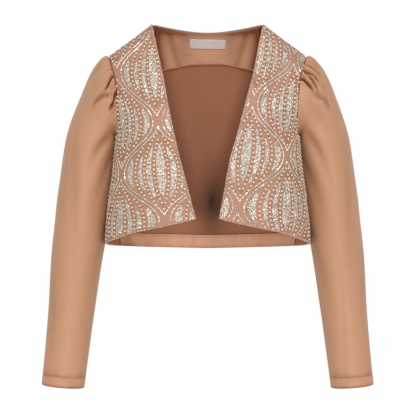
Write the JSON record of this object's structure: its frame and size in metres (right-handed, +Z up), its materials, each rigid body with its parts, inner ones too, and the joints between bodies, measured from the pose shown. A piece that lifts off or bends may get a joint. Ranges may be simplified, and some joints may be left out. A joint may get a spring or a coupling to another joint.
{
  "type": "cropped open-front jacket",
  "caption": "Child's cropped open-front evening jacket with beaded fronts, long gathered-head satin sleeves, narrow cuffs and an inside neck facing, filled out and hollow as worn.",
  "frame": {"origin": "where the wearer's shoulders hold the jacket up: on the centre plane, level with the tops of the two shoulder seams at the neck, above the middle of the shoulders", "axes": "+Z up, the wearer faces -Y, and the wearer's left sleeve is at +X"},
  "size_m": [0.4782, 0.1993, 0.5244],
  "materials": {
    "back": "rose-brown satin, matte and darker on its wrong side",
    "front_left": "rose-brown cloth covered with cords, pearls and sequins",
    "front_right": "rose-brown cloth covered with cords, pearls and sequins",
    "sleeve_left": "rose-brown satin",
    "sleeve_right": "rose-brown satin",
    "cuff_left": "rose-brown satin",
    "cuff_right": "rose-brown satin",
    "neck_facing": "rose-brown satin with a bound lower edge",
    "back_hem_band": "rose-brown satin",
    "label": "plain woven label"
  },
  "bodies": {
    "root": {"back": "back", "front_left": "front_left", "front_right": "front_right", "sleeve_left": "sleeve_left", "sleeve_right": "sleeve_right", "cuff_left": "cuff_left", "cuff_right": "cuff_right", "neck_facing": "neck_facing", "back_hem_band": "back_hem_band", "label": "label"}
  },
  "joints": []
}
